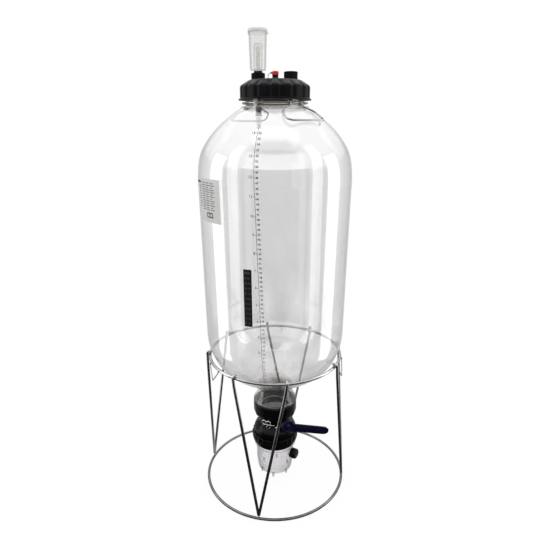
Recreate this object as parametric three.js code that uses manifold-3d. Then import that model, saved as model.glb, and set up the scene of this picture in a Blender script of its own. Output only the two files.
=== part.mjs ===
// Conical fermenter: a clear blow-moulded vessel, outlet down, in a wire stand. A screw lid with an airlock
// closes the top. A butterfly dump valve and a clear collection container hang from the outlet.
// Millimetres, +Z up, origin on the floor under the middle of the base ring.
// Azimuth 0 is the front (-Y) and grows towards +X.
import * as THREE from 'three';
import { mergeVertices } from 'three/addons/utils/BufferGeometryUtils.js';
import Module from 'manifold-3d';

const wasm = await Module();
wasm.setup();

// Driving dimensions
const RAD = Math.PI / 180;
const GAP = 0.3;
const ROD = 3.75;
const BASE_RING = 199;
const TOP_RING = 174;
const TOP_RING_Z = 401;
const LEG_AZIMUTHS = { front: -12.5, right: 81.3, back: 166, left: -107 };
const LEG_SPREAD = 21.7;
const TIE_WIRE = 1.5;
const TIES = { left: [-60, 184, 364], right: [70, 186, 361] };
const TIE_SPREAD = 8;

const BODY = 177.3;
const WALL = 2;
const OUTLET_Z = 236;
const OUTLET = 44;
const NECK = 64.3;
const NECK_TOP = 1042;
const COLLAR_WIRE = 1.5;
const COLLAR_RING = 71.5;
const COLLAR_Z = 1009.2;
const EYE_AZIMUTH = 12;
const EYE_RING = 4.1;
const EYE_WIRE = 1.2;
const HANDLE_WIRE = 2;
const HANDLE_AZIMUTHS = { front: 36, back: -144 };

const LID_SKIRT_Z = 1015.2;
const LID_TOP = 1054;
const LID_LOBES = 18;
const DISC_Z = NECK_TOP + 2.4;
const POST_TOP = 1066;
const POST_BASE = 1050;
const POST = 12.4;
const LEFT_POST = -36.2;
const RIGHT_POST = 33.9;
const RELIEF = 0.7;
const RING_EYE = new THREE.Vector3(-8.7, 10.4, 1069.7);
const RING_RADIUS = 7.2;
const AIRLOCK_Z = 1073;
const AIRLOCK_TOP = 1150;

const SHAFT_AZIMUTH = 30;
const SHAFT_Z = 200;
const SHAFT = 5;
const BORE = 35.2;
const DISC = 34.7;
const CLIP_AZIMUTH = 4;
const CLIP_Z = 197;
const CLIP_WIRE = 58;
const KEEPER_Z = 200.6;
const KEEPER_EYE = 5;
const KEEPER_RING = 7;
const HUB = 19;
const HUB_BACK = 62.5;
const HUB_FRONT = 72;
const LEVER_END = { along: 109.6, out: 44.1, drop: 28 };
const LEVER_OFFSET = 7;
const LOWER_NUT_Z = 107;
const THREAD = 56;
const CUP = 50.7;
const CUP_FLOOR = 22;
const PORT_AZIMUTH = 58;
const PORT_Z = 88;

// Finishes
const finish = (color, roughness, metalness, opacity = 1) => new THREE.MeshStandardMaterial({
  color,
  roughness,
  metalness,
  opacity,
  transparent: opacity < 1,
});
const steel = finish(0xb9bbbd, 0.28, 1);
const pet = finish(0xf2f5f5, 0.06, 0, 0.25);
const clear = finish(0xe9ecec, 0.12, 0, 0.4);
const black = finish(0x131315, 0.42, 0);
const rubber = finish(0x202022, 0.8, 0);
const silicone = finish(0xe4e2da, 0.6, 0);
const red = finish(0xd8241b, 0.35, 0);
const blue = finish(0x171a4a, 0.38, 0);
const paper = finish(0xf4f4f2, 0.5, 0);

const fermenter = new THREE.Group();

// Adds one named piece
function add(name, geometry, material) {
  const mesh = new THREE.Mesh(geometry, material);
  mesh.name = name;
  fermenter.add(mesh);
  return mesh;
}

// A point by radius, azimuth and height
function polar(radius, azimuth, z) {
  return new THREE.Vector3(radius * Math.sin(azimuth * RAD), -radius * Math.cos(azimuth * RAD), z);
}

// Keeps positions only, joins shared corners and drops triangles with no area
function weld(geometry) {
  geometry.deleteAttribute('normal');
  geometry.deleteAttribute('uv');
  const merged = mergeVertices(geometry);
  const { array } = merged.index;
  const kept = [];
  for (let i = 0; i < array.length; i += 3) {
    const corners = [array[i], array[i + 1], array[i + 2]];
    if (new Set(corners).size === 3) kept.push(...corners);
  }
  merged.setIndex(kept);
  return merged;
}

function toSolid(geometry) {
  const vertProperties = new Float32Array(geometry.attributes.position.array);
  const triVerts = new Uint32Array(geometry.index.array);
  return new wasm.Manifold(new wasm.Mesh({ numProp: 3, vertProperties, triVerts }));
}

function toGeometry(solid) {
  const { vertProperties, triVerts } = solid.getMesh();
  const geometry = new THREE.BufferGeometry();
  geometry.setAttribute('position', new THREE.BufferAttribute(vertProperties, 3));
  geometry.setIndex(new THREE.BufferAttribute(triVerts, 1));
  return geometry;
}

function join(first, ...others) {
  return toGeometry(others.reduce((whole, other) => whole.add(toSolid(other)), toSolid(first)));
}

function cut(first, ...others) {
  return toGeometry(others.reduce((whole, other) => whole.subtract(toSolid(other)), toSolid(first)));
}

// Turns an outline of [radius, z] points about the vertical axis, outer side upwards
function turned(outline, sides = 28) {
  const points = outline.map(([radius, z]) => new THREE.Vector2(radius, z));
  const geometry = new THREE.LatheGeometry(points, sides);
  geometry.rotateX(Math.PI / 2);
  return weld(geometry);
}

// A ring or sleeve of plain rectangular section
function sleeve(inner, outer, low, high, sides = 28) {
  return turned([[inner, low], [outer, low], [outer, high], [inner, high], [inner, low]], sides);
}

function drum(radius, low, high, sides = 16) {
  return turned([[0, low], [radius, low], [radius, high], [0, high]], sides);
}

// A wire ring about the vertical axis, its section flat at the bottom
function wireRing(ring, wire, z, sides = 32, facets = 6) {
  const corner = wire / Math.cos(Math.PI / facets);
  const outline = [];
  for (let i = 0; i <= facets; i += 1) {
    const angle = (2 * Math.PI * (i + 0.5)) / facets;
    outline.push([ring + corner * Math.cos(angle), z + corner * Math.sin(angle)]);
  }
  outline[facets] = outline[0];
  return turned(outline, sides);
}

// Lays a shape made along +Z so that +Z points outwards at an azimuth, +X along the tangent and +Y up
function outward(geometry, azimuth, z) {
  return geometry.rotateX(Math.PI / 2).rotateZ(azimuth * RAD).translate(0, 0, z);
}

// A path that steps exactly from corner to corner
class Route extends THREE.Curve {
  constructor(points) {
    super();
    this.points = points;
  }

  getPoint(t, target = new THREE.Vector3()) {
    const place = t * (this.points.length - 1);
    const from = Math.min(Math.floor(place), this.points.length - 2);
    return target.lerpVectors(this.points[from], this.points[from + 1], place - from);
  }

  getPointAt(u, target) {
    return this.getPoint(u, target);
  }

  getTangentAt(u, target = new THREE.Vector3()) {
    const last = this.points.length - 1;
    const place = Math.round(u * last);
    const here = Math.min(place, last - 1);
    const before = Math.max(place - 1, 0);
    const onward = this.points[here + 1].clone().sub(this.points[here]).normalize();
    const arriving = this.points[before + 1].clone().sub(this.points[before]).normalize();
    return target.addVectors(onward, arriving).normalize();
  }
}

// Rounds the corners of a path
function bent(corners, bend, steps = 4) {
  const points = [corners[0]];
  for (let i = 1; i < corners.length - 1; i += 1) {
    const back = corners[i - 1].clone().sub(corners[i]);
    const on = corners[i + 1].clone().sub(corners[i]);
    const start = corners[i].clone().add(back.clone().setLength(Math.min(bend, back.length() * 0.45)));
    const end = corners[i].clone().add(on.clone().setLength(Math.min(bend, on.length() * 0.45)));
    points.push(...new THREE.QuadraticBezierCurve3(start, corners[i], end).getPoints(steps));
  }
  points.push(corners.at(-1));
  return points;
}

// A round rod along a path
function rod(points, radius, facets = 6) {
  const section = new THREE.Shape();
  const ring = [];
  for (let i = 0; i < facets; i += 1) {
    const angle = (2 * Math.PI * i) / facets;
    ring.push(new THREE.Vector2(radius * Math.cos(angle), radius * Math.sin(angle)));
  }
  section.setFromPoints(ring);
  const extrudePath = new Route(points);
  const steps = points.length - 1;
  return weld(new THREE.ExtrudeGeometry(section, { steps, extrudePath, bevelEnabled: false }));
}

// Stand
function addStand() {
  add('base_ring', wireRing(BASE_RING, ROD, ROD, 48, 8), steel);
  add('top_ring', wireRing(TOP_RING, ROD, TOP_RING_Z, 48), steel);
  const outside = TOP_RING + 2 * ROD + GAP;
  const over = TOP_RING_Z + 2 * ROD + 2 * GAP;
  const hookEnd = 168.4;
  const apexZ = 3 * ROD + GAP;
  for (const [side, azimuth] of Object.entries(LEG_AZIMUTHS)) {
    const start = azimuth - LEG_SPREAD;
    const end = azimuth + LEG_SPREAD;
    const corners = [
      polar(hookEnd, start, over),
      polar(outside, start, over),
      polar(outside, start + 1.2, TOP_RING_Z - 22),
      polar(BASE_RING, azimuth, apexZ),
      polar(outside, end - 1.2, TOP_RING_Z - 22),
      polar(outside, end, over),
      polar(hookEnd, end, over),
    ];
    add(`leg_${side}`, rod(bent(corners, 7, 3), ROD), steel);
  }
  const beside = TOP_RING + ROD + TIE_WIRE + GAP;
  for (const [side, [azimuth, lowRadius, lowZ]] of Object.entries(TIES)) {
    const corners = [
      polar(beside, azimuth - TIE_SPREAD, TOP_RING_Z + 2),
      polar(beside, azimuth - TIE_SPREAD, TOP_RING_Z - 4),
      polar(lowRadius, azimuth, lowZ),
      polar(beside, azimuth + TIE_SPREAD, TOP_RING_Z - 4),
      polar(beside, azimuth + TIE_SPREAD, TOP_RING_Z + 2),
    ];
    add(`tie_loop_${side}`, rod(bent(corners, 4, 3), TIE_WIRE), steel);
  }
}

// Vessel
const BOWL = [
  [46, 310], [65, 321], [92, 336], [121, 354], [143.2, 373.5], [161.5, 402], [173.8, 438], [BODY, 466],
];
const SHOULDER = [
  [BODY, 860], [173.4, 889], [164.9, 914], [148.3, 939], [124.9, 963.6], [93.7, 988], [75.8, 1000],
];

// Points on a smooth curve through a few [radius, z] stations
function smooth(stations, count) {
  const curve = new THREE.SplineCurve(stations.map(([radius, z]) => new THREE.Vector2(radius, z)));
  return curve.getSpacedPoints(count).map((point) => [point.x, point.y]);
}

// The same curve moved inwards by the wall
function inner(points) {
  return points.map(([radius, z], i) => {
    const [r0, z0] = points[Math.max(i - 1, 0)];
    const [r1, z1] = points[Math.min(i + 1, points.length - 1)];
    const length = Math.hypot(r1 - r0, z1 - z0);
    return [radius - (WALL * (z1 - z0)) / length, z + (WALL * (r1 - r0)) / length];
  });
}

function addVessel() {
  const bowl = smooth(BOWL, 9);
  const shoulder = smooth(SHOULDER, 8);
  const skin = [...inner(bowl), ...inner(shoulder)].reverse();
  const outline = [
    [OUTLET, OUTLET_Z],
    [OUTLET, 254.5],
    [60, 254.5],
    [60, 260],
    [50, 277],
    [45.5, 292],
    ...bowl,
    ...shoulder,
    [73.7, 1001],
    [73.7, 1003.2],
    [NECK, 1004],
    [NECK, NECK_TOP],
    [NECK - WALL, NECK_TOP],
    [NECK - WALL, 1001],
    ...skin,
    [OUTLET - 3, 266],
    [OUTLET - 3, OUTLET_Z],
    [OUTLET, OUTLET_Z],
  ];
  add('vessel', turned(outline, 32), pet);
  add('thermometer_strip', decal(-19.5, 19, 548, 681, 0.5), black);
  add('info_label', decal(-57.7, 107, 770, 861, 0.4), paper);
  addHandles();
}

// A thin panel stuck on the outside of the cylinder
function decal(azimuth, width, low, high, thickness) {
  const radius = BODY + GAP;
  const half = width / 2 / radius;
  const section = new THREE.Shape();
  section.absarc(0, 0, radius + thickness, -half, half, false);
  section.absarc(0, 0, radius, half, -half, true);
  const depth = high - low;
  const curveSegments = Math.ceil(width / 12);
  const geometry = new THREE.ExtrudeGeometry(section, { depth, curveSegments, bevelEnabled: false });
  return weld(geometry).rotateZ((azimuth - 90) * RAD).translate(0, 0, low);
}

// Wire collar on the neck with a swinging carry handle on each side
function addHandles() {
  add('handle_collar', wireRing(COLLAR_RING, COLLAR_WIRE, COLLAR_Z), steel);
  const hinge = COLLAR_RING * Math.cos(EYE_AZIMUTH * RAD);
  const lug = COLLAR_RING * Math.sin(EYE_AZIMUTH * RAD);
  const half = [
    [hinge + EYE_RING, lug, COLLAR_Z - 1],
    [77.2, 15.8, 1003],
    [79, 18, 1000.6],
    [84.5, 43, 991.5],
    [105, 48.5, 978],
    [116.5, 41, 974.8],
  ];
  for (const [side, azimuth] of Object.entries(HANDLE_AZIMUTHS)) {
    const right = half.map(([out, across, z]) => new THREE.Vector3(across, -out, z));
    const left = right.map((point) => new THREE.Vector3(-point.x, point.y, point.z)).reverse();
    const wire = rod(bent([...right, ...left], 6, 2), HANDLE_WIRE, 6);
    const eyes = [-lug, lug].map((x) => {
      const eye = wireRing(EYE_RING, EYE_WIRE, 0, 10, 5);
      return eye.rotateY(Math.PI / 2).translate(x, -hinge, COLLAR_Z);
    });
    add(`handle_${side}`, join(wire, ...eyes).rotateZ(azimuth * RAD), steel);
  }
}

// Screw collar: lobed outside, sloping top with an open middle
function lidCollar() {
  const shell = turned([
    [68, LID_SKIRT_Z],
    [79.6, LID_SKIRT_Z],
    [79.6, LID_SKIRT_Z + 2.3],
    [76.2, LID_SKIRT_Z + 3.4],
    [76.2, 1041],
    [74, 1044],
    [57, LID_TOP],
    [52.3, LID_TOP],
    [52.3, 1047.5],
    [68, 1047.5],
    [68, LID_SKIRT_Z],
  ], 36);
  const groove = 9;
  const slope = -59.7 * RAD;
  const grooves = [];
  for (let i = 0; i < LID_LOBES; i += 1) {
    const azimuth = ((i + 0.5) * 360 * RAD) / LID_LOBES;
    const side = drum(groove, LID_SKIRT_Z + 3.6, 1047, 6).translate(0, -83.2, 0);
    const top = drum(groove, -12, 12, 6).rotateX(slope).translate(0, -69.4, 1055.6);
    grooves.push(side.rotateZ(azimuth), top.rotateZ(azimuth));
  }
  return cut(shell, ...grooves);
}

// Lid disc with two threaded posts
function lidDisc() {
  const plate = turned([
    [0, DISC_Z], [66.5, DISC_Z], [66.5, 1047], [51.6, 1047], [51.6, POST_BASE], [0, POST_BASE],
  ]);
  const posts = [LEFT_POST, RIGHT_POST].map((x) => drum(POST, POST_BASE - 1, POST_TOP).translate(x, 0, 0));
  const bores = [LEFT_POST, RIGHT_POST].map((x) => drum(9, 1047.4, POST_TOP + 1).translate(x, 0, 0));
  const ways = [
    drum(4.9, DISC_Z - 1, 1049).translate(LEFT_POST, 0, 0),
    drum(5.9, DISC_Z - 1, POST_BASE + 1).translate(RELIEF, 0, 0),
  ];
  return cut(join(plate, ...posts), ...bores, ...ways);
}

// A post cap with a hole in its top
function postCap(top, hole) {
  const under = POST_TOP + GAP;
  return turned([
    [POST + GAP, POST_BASE + 0.4],
    [14.3, POST_BASE + 0.4],
    [14.85, POST_BASE + 1.4],
    [14.85, top - 1],
    [13.9, top],
    [hole, top],
    [hole, under],
    [POST + GAP, under],
    [POST + GAP, POST_BASE + 0.4],
  ], 24);
}

function addLid() {
  add('lid_collar', lidCollar(), black);
  add('lid_disc', lidDisc(), black);
  add('lid_gasket', sleeve(61.5, 66, NECK_TOP + GAP, DISC_Z - GAP), silicone);
  add('bored_cap', postCap(1068, 9.1), black).position.x = LEFT_POST;
  const grommet = turned([
    [4.6, 1054], [8.7, 1054], [8.7, 1068.4], [9.25, 1068.4], [9.25, 1072], [4.6, 1072], [4.6, 1054],
  ], 24);
  add('airlock_grommet', grommet, rubber).position.x = LEFT_POST;
  add('drop_spigot', turned([
    [4.9, 983.4],
    [8, 983.4],
    [8, 985.6],
    [6.6, 986.5],
    [6.6, DISC_Z - GAP],
    [4.9, DISC_Z - GAP],
    [4.9, 983.4],
  ], 24), black).position.x = LEFT_POST;
  add('drop_tube', turned([[3.2, 958], [4.5, 958], [6.5, 982], [4.5, 982], [3.2, 958]], 24), clear)
    .position.x = LEFT_POST;
  add('blank_cap', blankCap(), black).position.x = RIGHT_POST;
  add('blank_cap_liner', drum(12, POST_TOP + GAP, POST_TOP + 1.8), rubber).position.x = RIGHT_POST;
  addReliefValve();
}

function blankCap() {
  const top = 1071;
  const under = POST_TOP + 2.1;
  return turned([
    [0, under],
    [POST + GAP, under],
    [POST + GAP, POST_BASE + 0.4],
    [14.3, POST_BASE + 0.4],
    [14.85, POST_BASE + 1.4],
    [14.85, top - 1],
    [13.9, top],
    [0, top],
  ], 24);
}

// Pressure relief valve: seat and body, sprung poppet on the knob's stem, pull ring behind the body
function addReliefValve() {
  const base = POST_BASE + GAP;
  const bodyTop = 1064.5;
  add('relief_body', turned([
    [2, 1036],
    [5.6, 1036],
    [5.6, base],
    [8, base],
    [9, base + 1],
    [9, 1058],
    [6.5, 1060],
    [6.5, bodyTop],
    [1.9, bodyTop],
    [1.9, 1062],
    [3.9, 1062],
    [3.9, 1040],
    [2, 1040],
    [2, 1036],
  ], 16), black).position.x = RELIEF;
  const knob = turned([
    [0, 1040.3],
    [3.4, 1040.3],
    [3.4, 1043],
    [1.5, 1043],
    [1.5, 1065],
    [7.15, 1065],
    [7.15, 1070.8],
    [6, 1072],
    [0, 1072],
  ], 16);
  const tab = weld(new THREE.BoxGeometry(2.4, 10, 3.6).translate(0, 11, 0));
  tab.rotateZ(Math.atan2(-RING_EYE.x, RING_EYE.y)).translate(0, 0, RING_EYE.z);
  const eye = drum(1.25, -4, 4, 12).rotateY(Math.PI / 2).translate(RING_EYE.x, RING_EYE.y, RING_EYE.z);
  add('relief_knob', cut(join(knob, tab), eye), red).position.x = RELIEF;
  const ring = wireRing(RING_RADIUS, 0.65, 0, 20, 5).rotateX(Math.PI / 2);
  ring.translate(RING_EYE.x, RING_EYE.y, RING_EYE.z - RING_RADIUS);
  add('relief_ring', ring, steel).position.x = RELIEF;
  const coil = [];
  const turns = 5;
  const steps = turns * 8;
  for (let i = 0; i <= steps; i += 1) {
    const angle = (2 * Math.PI * turns * i) / steps;
    coil.push(new THREE.Vector3(2.7 * Math.cos(angle), 2.7 * Math.sin(angle), 1043.8 + (17.4 * i) / steps));
  }
  add('relief_spring', rod(coil, 0.4, 5), steel).position.x = RELIEF;
}

// Airlock: tapered cup with a centre tube, loose float, push-on cap with a small lip
function addAirlock() {
  const cup = turned([
    [2.6, 1049],
    [4.2, 1049],
    [4.2, AIRLOCK_Z],
    [17.25, AIRLOCK_Z],
    [19.2, AIRLOCK_TOP - 5],
    [17.9, AIRLOCK_TOP - 5],
    [16, AIRLOCK_Z + 1.6],
    [4, AIRLOCK_Z + 1.6],
    [4, 1118],
    [2.6, 1118],
    [2.6, 1049],
  ], 24);
  const float = turned([
    [8.3, 1075], [9.5, 1075], [9.5, 1123.4], [0, 1123.4], [0, 1122], [8.3, 1122], [8.3, 1075],
  ], 24);
  const cap = turned([
    [0, AIRLOCK_TOP - 4.6],
    [19.6, AIRLOCK_TOP - 4.6],
    [19.6, AIRLOCK_TOP - 9.5],
    [20.8, AIRLOCK_TOP - 9.5],
    [20.8, AIRLOCK_TOP - 2],
    [19.3, AIRLOCK_TOP],
    [0, AIRLOCK_TOP],
  ], 24);
  const lip = weld(new THREE.BoxGeometry(4, 7, 1.4).translate(21.9, 0, AIRLOCK_TOP - 8.8));
  add('airlock_cup', cup, clear).position.x = LEFT_POST;
  add('airlock_float', float, clear).position.x = LEFT_POST;
  add('airlock_cap', join(cap, lip), clear).position.x = LEFT_POST;
}

// Butterfly valve under the outlet. Its shaft lies level and points outwards at SHAFT_AZIMUTH.
function addValve() {
  add('upper_union_nut', turned([
    [45, 211],
    [54, 211],
    [58.6, 216],
    [60, 222],
    [60, 251],
    [58.5, 252.5],
    [OUTLET + 0.6, 252.5],
    [OUTLET + 0.6, 235.7],
    [51.2, 235.7],
    [51.2, 221.3],
    [45, 221.3],
    [45, 211],
  ]), black);
  add('outlet_seal', sleeve(38, 43, 232.6, OUTLET_Z - GAP), silicone);
  const shell = turned([
    [BORE + 2.6, 118],
    [THREAD, 118],
    [THREAD, 151],
    [59.5, 153],
    [59.5, 165],
    [57, 171],
    [47, 184],
    [44.6, 192],
    [44.6, 221.8],
    [50.8, 221.8],
    [50.8, 232.3],
    [BORE + 2.6, 232.3],
    [BORE + 2.6, 118],
  ]);
  const boss = outward(drum(9.5, 40, HUB_BACK - 0.5, 16), SHAFT_AZIMUTH, SHAFT_Z);
  const block = weld(new THREE.BoxGeometry(9, 9, 20).translate(0, 0, 51));
  const clipBlock = outward(block, CLIP_AZIMUTH, CLIP_Z);
  const bore = drum(BORE + 2.6, 100, 240, 28);
  const shaftWay = outward(drum(SHAFT + GAP, -42, HUB_BACK + 1, 16), SHAFT_AZIMUTH, SHAFT_Z);
  const pinWay = outward(drum(2.3, 50, 70, 16), CLIP_AZIMUTH, CLIP_Z);
  add('valve_body', cut(join(shell, boss, clipBlock), bore, shaftWay, pinWay), black);
  const seat = sleeve(BORE, BORE + 2.3, 182, 218);
  add('valve_seat', cut(seat, outward(drum(SHAFT + 0.5, -45, 45, 16), SHAFT_AZIMUTH, SHAFT_Z)), rubber);
  addDisc();
  addLever();
  addClip();
}

function addDisc() {
  const plate = drum(DISC, SHAFT_Z - 2.5, SHAFT_Z + 2.5, 28);
  const rib = outward(drum(7.5, -33.4, 33.4, 16), SHAFT_AZIMUTH, SHAFT_Z);
  const way = outward(drum(SHAFT + GAP, -40, 40, 16), SHAFT_AZIMUTH, SHAFT_Z);
  add('valve_disc', cut(join(plate, rib), way), black);
  add('valve_shaft', outward(drum(SHAFT, -41.5, 68, 16), SHAFT_AZIMUTH, SHAFT_Z), steel);
}

// Hub on the shaft and a flat arm, set low on the hub, that bends outwards and droops
function addLever() {
  const hub = drum(HUB, HUB_BACK, HUB_FRONT, 24);
  const reach = Math.hypot(LEVER_END.along, LEVER_END.drop);
  const length = Math.sqrt(reach ** 2 - LEVER_OFFSET ** 2);
  const half = 12;
  const middle = (HUB_BACK + HUB_FRONT) / 2;
  const plan = new THREE.Shape();
  const thick = 6;
  const kink = 17;
  plan.moveTo(2, middle - thick / 2);
  plan.lineTo(kink, middle - thick / 2);
  plan.lineTo(length, middle + LEVER_END.out - thick / 2);
  plan.lineTo(length, middle + LEVER_END.out + thick / 2);
  plan.lineTo(kink, middle + thick / 2);
  plan.lineTo(2, middle + thick / 2);
  const slab = weld(new THREE.ExtrudeGeometry(plan, { depth: 2 * half, bevelEnabled: false }));
  slab.rotateX(Math.PI / 2).translate(0, half, 0);
  const profile = new THREE.Shape();
  profile.moveTo(0, -half);
  profile.lineTo(length - half, -half);
  profile.absarc(length - half, 0, half, -Math.PI / 2, Math.PI / 2, false);
  profile.lineTo(0, half);
  const depth = 130;
  const outline = weld(new THREE.ExtrudeGeometry(profile, { depth, curveSegments: 8, bevelEnabled: false }));
  const arm = toGeometry(toSolid(slab).intersect(toSolid(outline))).translate(0, -LEVER_OFFSET, 0);
  const ways = [drum(SHAFT + GAP, HUB_BACK - 1, 68.4, 16), drum(2.6, 60, 80, 12)];
  const lever = cut(join(hub, arm), ...ways);
  lever.rotateZ(Math.atan2(LEVER_OFFSET, length) - Math.atan2(LEVER_END.drop, LEVER_END.along));
  add('valve_lever', outward(lever, SHAFT_AZIMUTH, SHAFT_Z), blue);
  const screw = turned([
    [0, 68.4], [2.2, 68.4], [2.2, 72.3], [6.5, 72.3], [6.5, 74], [4.5, 75.6], [0, 75.6],
  ], 16);
  add('lever_screw', outward(screw, SHAFT_AZIMUTH, SHAFT_Z), steel);
}

// Spring-steel keeper on the front of the valve: a wire with eyes, a pull pin and its split ring
function addClip() {
  const sweep = [];
  for (let azimuth = -20; azimuth < 0; azimuth += 4.8) sweep.push(polar(CLIP_WIRE, azimuth, KEEPER_Z));
  const wire = rod(sweep, 1);
  const eyeZ = KEEPER_Z + KEEPER_EYE - 0.5;
  const eyes = [-29, -18].map((azimuth) => {
    const eye = wireRing(KEEPER_EYE, 1, CLIP_WIRE, 16, 5);
    return outward(eye, azimuth, eyeZ);
  });
  const link = rod([-28, -24, -18].map((azimuth) => polar(CLIP_WIRE, azimuth, KEEPER_Z)), 1);
  add('keeper_wire', join(wire, link, ...eyes), steel);
  const ring = wireRing(KEEPER_RING, 0.6, 0, 20, 5).rotateY(Math.PI / 3);
  ring.translate(0, 2.5 - KEEPER_EYE - KEEPER_RING, CLIP_WIRE);
  add('keeper_ring', outward(ring, -18, eyeZ), steel);
  const pin = turned([[0, 55], [1.9, 55], [1.9, 63.2], [5, 63.2], [5, 66], [3, 67.5], [0, 67.5]], 20);
  add('lock_pin', outward(pin, CLIP_AZIMUTH, CLIP_Z), steel);
}

// Lower union nut and the collection container
function addContainer() {
  add('lower_union_nut', turned([
    [51.4, LOWER_NUT_Z],
    [58.6, LOWER_NUT_Z],
    [62.4, 116],
    [65.5, 132],
    [65.5, 149],
    [64, 150],
    [THREAD + 0.5, 150],
    [THREAD + 0.5, 110],
    [51.4, 110],
    [51.4, LOWER_NUT_Z],
  ]), black);
  add('container_gasket', sleeve(40, 50, 114.8, 117.7), silicone);
  const shell = turned([
    [0, CUP_FLOOR],
    [44, CUP_FLOOR],
    [48.6, CUP_FLOOR + 4.5],
    [CUP, 88],
    [CUP, 91.5],
    [54, 92.5],
    [54, 97],
    [CUP, 98],
    [CUP, 110.4],
    [55.8, 110.4],
    [55.8, 114.4],
    [CUP - WALL, 114.4],
    [CUP - WALL, 88],
    [46.6, CUP_FLOOR + 6],
    [43, CUP_FLOOR + 2.4],
    [0, CUP_FLOOR + 2.4],
  ]);
  const port = outward(drum(11, 48.9, 68, 16), PORT_AZIMUTH, PORT_Z);
  const way = outward(drum(8, 40, 72, 16), PORT_AZIMUTH, PORT_Z);
  const feet = [];
  for (let i = 0; i < 6; i += 1) {
    const foot = turned([[0, 9], [2.6, 9], [3.4, CUP_FLOOR + 1.5], [0, CUP_FLOOR + 1.5]], 8);
    feet.push(foot.translate(0, -41, 0).rotateZ((i * 60 - 7) * RAD));
  }
  add('container', cut(join(shell, port, ...feet), way), clear);
  const cap = turned([
    [0, 68.5],
    [12, 68.5],
    [12, 56],
    [14, 56],
    [15, 57.5],
    [15, 71],
    [12.5, 73.5],
    [0, 73.5],
  ], 12);
  add('port_cap', outward(cap, PORT_AZIMUTH, PORT_Z), black);
}

addStand();
addVessel();
addLid();
addAirlock();
addValve();
addContainer();

export default fermenter;
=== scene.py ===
"""Looks of the conical fermenter: clear PET vessel, wire stand, lid with airlock, dump valve, container.

The CAD frame stays as it is. Every visible piece is rebuilt here in metres, in the frame's place, with
procedural materials. Outlines are written in millimetres and scaled by MM.
"""
import math

import bmesh
import bpy
from mathutils import Matrix, Vector


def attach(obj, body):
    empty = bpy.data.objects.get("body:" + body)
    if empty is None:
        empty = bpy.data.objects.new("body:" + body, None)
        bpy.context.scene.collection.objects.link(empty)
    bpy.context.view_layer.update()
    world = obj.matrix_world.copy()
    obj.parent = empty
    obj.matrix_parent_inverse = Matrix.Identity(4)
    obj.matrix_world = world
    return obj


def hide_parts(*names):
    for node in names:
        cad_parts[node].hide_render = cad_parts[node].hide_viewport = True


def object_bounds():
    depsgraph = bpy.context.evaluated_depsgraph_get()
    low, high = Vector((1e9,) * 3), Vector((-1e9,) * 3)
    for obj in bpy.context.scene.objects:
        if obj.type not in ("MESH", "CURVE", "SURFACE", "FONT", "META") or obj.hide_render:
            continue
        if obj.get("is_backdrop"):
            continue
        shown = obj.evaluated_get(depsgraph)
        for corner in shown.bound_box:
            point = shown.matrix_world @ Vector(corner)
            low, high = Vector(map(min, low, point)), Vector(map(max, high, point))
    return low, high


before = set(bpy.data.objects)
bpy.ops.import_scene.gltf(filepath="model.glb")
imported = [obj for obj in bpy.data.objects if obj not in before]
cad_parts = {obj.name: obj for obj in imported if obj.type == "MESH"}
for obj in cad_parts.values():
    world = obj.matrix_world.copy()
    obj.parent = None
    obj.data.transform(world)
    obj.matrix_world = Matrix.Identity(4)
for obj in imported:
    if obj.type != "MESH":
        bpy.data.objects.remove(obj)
cad_box = [list(corner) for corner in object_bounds()]

MM = 0.001
GAP = 0.3
SMOOTH_ANGLE = math.radians(32)
LONGEST_EASE = 0.45  # share of a side that a rounded corner may take

# Sizes that the frame's pieces share, in millimetres
ROD = 3.75
BASE_RING = 199
TOP_RING = 174
TOP_RING_Z = 401
LEG_AZIMUTHS = {"front": -12.5, "right": 81.3, "back": 166, "left": -107}
LEG_SPREAD = 21.7
LEG_END = 168.4
TIE_WIRE = 1.5
TIES = {"left": (-60, 184, 364), "right": (70, 186, 361)}
TIE_SPREAD = 8
BODY = 177.3
WALL = 2
NECK = 64.3
COLLAR_RING = 71.5
COLLAR_WIRE = 1.5
HANDLE_WIRE = 2
COLLAR_Z = 1009.2
EYE_AZIMUTH = 12
EYE_RING = 4.1
HANDLE_AZIMUTHS = {"front": 36, "back": -144}
DISC_Z = 1044.4
POST_BASE = 1050
POST_TOP = 1066
POST = 12.4
LEFT_POST = -36.2
RIGHT_POST = 33.9
RELIEF = 0.7
RING_EYE = (-8.7, 10.4, 1069.7)
AIRLOCK_Z = 1073
AIRLOCK_TOP = 1150
SHAFT_AZIMUTH = 30
SHAFT_Z = 200
LEVER_END = (109.6, 44.1, 28)
LEVER_OFFSET = 7
CLIP_AZIMUTH = 4
CLIP_Z = 197
CLIP_WIRE = 58
KEEPER_Z = 200.6
KEEPER_EYE = 6.4
KEEPER_RING = 7
THREAD = 56
BORE = 37.8
CUP = 53.6
CUP_FLOOR = 22
PORT_AZIMUTH = 58
PORT_Z = 88
SCALE_AZIMUTH = -11.8
SCALE_LEAN = -0.0098
MIDDLE_Z = 680
BOWL = [(46, 310), (65, 321), (92, 336), (121, 354), (143.2, 373.5), (161.5, 402), (173.8, 438), (BODY, 466)]
SHOULDER = [(BODY, 830), (177.1, 856), (173.2, 889), (164.9, 914), (148.3, 939), (124.9, 963.6),
            (93.7, 988), (75.8, 1000)]


# ---------------------------------------------------------------- mesh helpers

def polar(radius, azimuth, z):
    """A point by radius, azimuth from the front (-Y) towards +X, and height."""
    angle = math.radians(azimuth)
    return Vector((radius * math.sin(angle), -radius * math.cos(angle), z))


def loose_object(name, verts, faces):
    """A mesh given in millimetres, as an object in the scene."""
    mesh = bpy.data.meshes.new(name)
    mesh.from_pydata([[c * MM for c in v] for v in verts], [], faces)
    item = bpy.data.objects.new(name, mesh)
    bpy.context.scene.collection.objects.link(item)
    return item


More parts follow.
